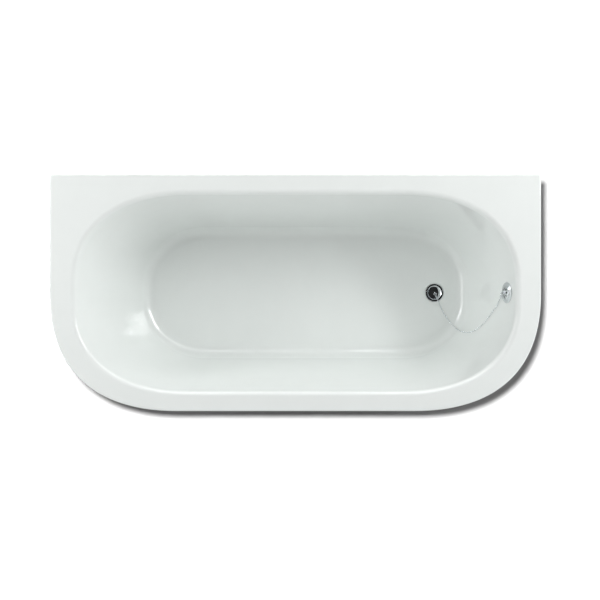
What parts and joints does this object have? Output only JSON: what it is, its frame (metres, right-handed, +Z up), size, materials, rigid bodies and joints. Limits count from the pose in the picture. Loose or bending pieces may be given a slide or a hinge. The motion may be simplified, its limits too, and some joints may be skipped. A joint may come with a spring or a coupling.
{
  "type": "stone resin bathtub",
  "caption": "Back-to-wall bathtub cast in stone resin with a curved front, sloping backrest, plug on a ball chain, overflow, apron and levelling legs.",
  "frame": {"origin": "on the room's floor, under the centre of the rim's box", "axes": "+X towards the waste and overflow end, +Y towards the wall behind the bath, +Z up"},
  "size_m": [1.66, 0.8, 0.58],
  "materials": {
    "stone_resin": "cast stone resin, cool white, polished to a gloss",
    "chrome": "mirror-polished chrome on brass",
    "zinc_steel": "bright zinc plate",
    "brass_inserts": "turned brass",
    "seal_rubber": "moulded black rubber",
    "white_plastic": "moulded white polypropylene",
    "hose_plastic": "corrugated grey polyethylene hose",
    "pad_plastic": "moulded black nylon"
  },
  "bodies": {
    "root": {"apron_brackets": "zinc_steel", "apron_inserts": "brass_inserts", "apron_panel": "stone_resin", "apron_screws": "zinc_steel", "bracket_bolts": "zinc_steel", "elbow_seal": "seal_rubber", "hose_nut_lower": "white_plastic", "hose_nut_upper": "white_plastic", "lock_nuts": "zinc_steel", "overflow_elbow": "white_plastic", "overflow_hose": "hose_plastic", "overflow_rose": "chrome", "overflow_screw": "chrome", "plug_chain": "chrome", "rail_bolts": "zinc_steel", "rail_inserts": "brass_inserts", "rim_inserts": "brass_inserts", "rose_gasket": "seal_rubber", "staple_coupling": "chrome", "staple_ring": "chrome", "support_rail_head": "zinc_steel", "support_rail_waste": "zinc_steel", "tub_shell": "stone_resin", "waste_body": "white_plastic", "waste_body_seal": "seal_rubber", "waste_flange": "chrome", "waste_flange_seal": "seal_rubber", "waste_screw": "chrome", "weld_nuts": "zinc_steel"},
    "plug": {"plug_cap": "chrome", "plug_stopper": "seal_rubber", "plug_eye": "chrome", "plug_ring": "chrome", "plug_coupling": "chrome"},
    "leg_head_back": {"leg_stud_head_back": "zinc_steel", "leg_pad_head_back": "pad_plastic"},
    "leg_head_front": {"leg_stud_head_front": "zinc_steel", "leg_pad_head_front": "pad_plastic"},
    "leg_waste_back": {"leg_stud_waste_back": "zinc_steel", "leg_pad_waste_back": "pad_plastic"},
    "leg_waste_front": {"leg_stud_waste_front": "zinc_steel", "leg_pad_waste_front": "pad_plastic"}
  },
  "joints": [
    {"name": "plug_lift", "type": "slide", "parent": "root", "child": "plug", "axis": [0, 0, 1], "range_m": [0, 0.1], "deforming": ["plug_chain"]},
    {"name": "leg_head_back_level", "type": "slide", "parent": "root", "child": "leg_head_back", "axis": [0, 0, 1], "range_m": [-0.012, 0.008]},
    {"name": "leg_head_front_level", "type": "slide", "parent": "root", "child": "leg_head_front", "axis": [0, 0, 1], "range_m": [-0.012, 0.008]},
    {"name": "leg_waste_back_level", "type": "slide", "parent": "root", "child": "leg_waste_back", "axis": [0, 0, 1], "range_m": [-0.012, 0.008]},
    {"name": "leg_waste_front_level", "type": "slide", "parent": "root", "child": "leg_waste_front", "axis": [0, 0, 1], "range_m": [-0.012, 0.008]}
  ]
}
